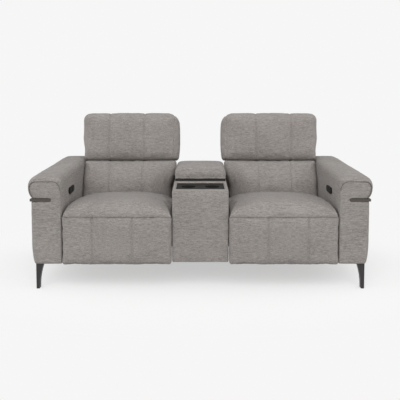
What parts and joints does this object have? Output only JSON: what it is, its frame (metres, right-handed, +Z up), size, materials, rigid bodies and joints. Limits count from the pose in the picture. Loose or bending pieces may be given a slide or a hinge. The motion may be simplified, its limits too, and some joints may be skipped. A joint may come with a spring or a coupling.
{
  "type": "reclining loveseat with console",
  "caption": "Upholstered reclining loveseat with a centre console, cup tray and lidded bin, folding headrests, swing-out footrests and slim metal legs.",
  "frame": {"origin": "on the floor, at the middle of the box around the loveseat at rest", "axes": "+X to the viewer's right, +Y to the back, +Z up; the seats face -Y"},
  "size_m": [2, 0.9601, 0.9841],
  "materials": {
    "upholstery": "heathered grey-beige linen weave",
    "gunmetal_trim": "satin gunmetal",
    "leg_metal": "satin dark grey",
    "black_steel": "black powder coat",
    "bright_steel": "drawn bar",
    "plywood": "raw plywood",
    "black_plastic": "fine moulded texture",
    "button_plastic": "soft touch",
    "tray_plastic": "moulded, slightly satin"
  },
  "bodies": {
    "frame": {"left_arm": "upholstery", "left_arm_pad": "upholstery", "left_arm_trim": "gunmetal_trim", "left_front_leg": "leg_metal", "left_rear_leg": "leg_metal", "left_support_leg": "black_plastic", "left_outer_base_rail": "black_steel", "left_inner_base_rail": "black_steel", "left_recline_motor": "black_plastic", "left_control_panel": "black_plastic", "right_arm": "upholstery", "right_arm_pad": "upholstery", "right_arm_trim": "gunmetal_trim", "right_front_leg": "leg_metal", "right_rear_leg": "leg_metal", "right_support_leg": "black_plastic", "right_outer_base_rail": "black_steel", "right_inner_base_rail": "black_steel", "right_recline_motor": "black_plastic", "right_control_panel": "black_plastic", "console_body": "upholstery", "rear_panel": "upholstery", "cup_tray": "tray_plastic", "lid_hinge": "black_steel"},
    "left_seat": {"left_seat_box": "plywood", "left_seat_cushion": "upholstery", "left_recline_rod": "bright_steel", "left_footrest_gearmotor": "black_plastic"},
    "left_crank": {"left_footrest_shaft": "bright_steel", "left_inner_crank": "black_steel", "left_outer_crank": "black_steel"},
    "left_link": {"left_inner_link": "black_steel", "left_outer_link": "black_steel"},
    "left_footrest": {"left_footrest_board": "plywood", "left_footrest_pad": "upholstery"},
    "left_back": {"left_back_shell": "upholstery", "left_back_cushion": "upholstery", "left_headrest_hinge": "black_steel"},
    "left_headrest": {"left_headrest": "upholstery"},
    "left_front_button": {"left_front_button": "button_plastic"},
    "left_rear_button": {"left_rear_button": "button_plastic"},
    "right_seat": {"right_seat_box": "plywood", "right_seat_cushion": "upholstery", "right_recline_rod": "bright_steel", "right_footrest_gearmotor": "black_plastic"},
    "right_crank": {"right_footrest_shaft": "bright_steel", "right_inner_crank": "black_steel", "right_outer_crank": "black_steel"},
    "right_link": {"right_inner_link": "black_steel", "right_outer_link": "black_steel"},
    "right_footrest": {"right_footrest_board": "plywood", "right_footrest_pad": "upholstery"},
    "right_back": {"right_back_shell": "upholstery", "right_back_cushion": "upholstery", "right_headrest_hinge": "black_steel"},
    "right_headrest": {"right_headrest": "upholstery"},
    "right_front_button": {"right_front_button": "button_plastic"},
    "right_rear_button": {"right_rear_button": "button_plastic"},
    "console_lid": {"console_lid_board": "plywood", "console_lid_pad": "upholstery"}
  },
  "joints": [
    {"name": "left_recline", "type": "slide", "parent": "frame", "child": "left_seat", "axis": [0, -1, 0], "range_m": [0, 0.12]},
    {"name": "left_back_tilt", "type": "hinge", "parent": "left_seat", "child": "left_back", "pos_m": [-0.485, 0.2637, 0.3], "axis": [-1, 0, 0], "range_deg": [0, 32]},
    {"name": "left_headrest_fold", "type": "hinge", "parent": "left_back", "child": "left_headrest", "pos_m": [-0.485, 0.38332, 0.62227], "axis": [-1, 0, 0], "range_deg": [0, 45]},
    {"name": "left_footrest_lift", "type": "hinge", "parent": "left_seat", "child": "left_crank", "pos_m": [-0.485, -0.3297, 0.345], "axis": [-1, 0, 0], "range_deg": [0, 70]},
    {"name": "left_footrest_elbow", "type": "hinge", "parent": "left_crank", "child": "left_link", "pos_m": [-0.485, -0.36297, 0.1885], "axis": [-1, 0, 0], "range_deg": [-147, 0]},
    {"name": "left_footrest_turn", "type": "hinge", "parent": "left_link", "child": "left_footrest", "pos_m": [-0.485, -0.39162, 0.35099], "axis": [-1, 0, 0], "range_deg": [0, 157]},
    {"name": "left_front_button_press", "type": "slide", "parent": "frame", "child": "left_front_button", "axis": [-1, 0, 0], "range_m": [0, 0.002], "stiffness_N_per_m": 800, "springref_m": -0.0005},
    {"name": "left_rear_button_press", "type": "slide", "parent": "frame", "child": "left_rear_button", "axis": [-1, 0, 0], "range_m": [0, 0.002], "stiffness_N_per_m": 800, "springref_m": -0.0005},
    {"name": "right_recline", "type": "slide", "parent": "frame", "child": "right_seat", "axis": [0, -1, 0], "range_m": [0, 0.12]},
    {"name": "right_back_tilt", "type": "hinge", "parent": "right_seat", "child": "right_back", "pos_m": [0.485, 0.2637, 0.3], "axis": [-1, 0, 0], "range_deg": [0, 32]},
    {"name": "right_headrest_fold", "type": "hinge", "parent": "right_back", "child": "right_headrest", "pos_m": [0.485, 0.38332, 0.62227], "axis": [-1, 0, 0], "range_deg": [0, 45]},
    {"name": "right_footrest_lift", "type": "hinge", "parent": "right_seat", "child": "right_crank", "pos_m": [0.485, -0.3297, 0.345], "axis": [-1, 0, 0], "range_deg": [0, 70]},
    {"name": "right_footrest_elbow", "type": "hinge", "parent": "right_crank", "child": "right_link", "pos_m": [0.485, -0.36297, 0.1885], "axis": [-1, 0, 0], "range_deg": [-147, 0]},
    {"name": "right_footrest_turn", "type": "hinge", "parent": "right_link", "child": "right_footrest", "pos_m": [0.485, -0.39162, 0.35099], "axis": [-1, 0, 0], "range_deg": [0, 157]},
    {"name": "right_front_button_press", "type": "slide", "parent": "frame", "child": "right_front_button", "axis": [1, 0, 0], "range_m": [0, 0.002], "stiffness_N_per_m": 800, "springref_m": -0.0005},
    {"name": "right_rear_button_press", "type": "slide", "parent": "frame", "child": "right_rear_button", "axis": [1, 0, 0], "range_m": [0, 0.002], "stiffness_N_per_m": 800, "springref_m": -0.0005},
    {"name": "lid_open", "type": "hinge", "parent": "frame", "child": "console_lid", "pos_m": [0, 0.1843, 0.5843], "axis": [-1, 0, 0], "range_deg": [0, 75]}
  ],
  "couplings": [
    {"joint": "left_back_tilt", "follows": "left_recline", "rad_per_m": 4.6496},
    {"joint": "left_footrest_elbow", "follows": "left_footrest_lift", "ratio": -2.0857},
    {"joint": "left_footrest_turn", "follows": "left_footrest_lift", "ratio": 2.2286},
    {"joint": "right_back_tilt", "follows": "right_recline", "rad_per_m": 4.6496},
    {"joint": "right_footrest_elbow", "follows": "right_footrest_lift", "ratio": -2.0857},
    {"joint": "right_footrest_turn", "follows": "right_footrest_lift", "ratio": 2.2286}
  ]
}
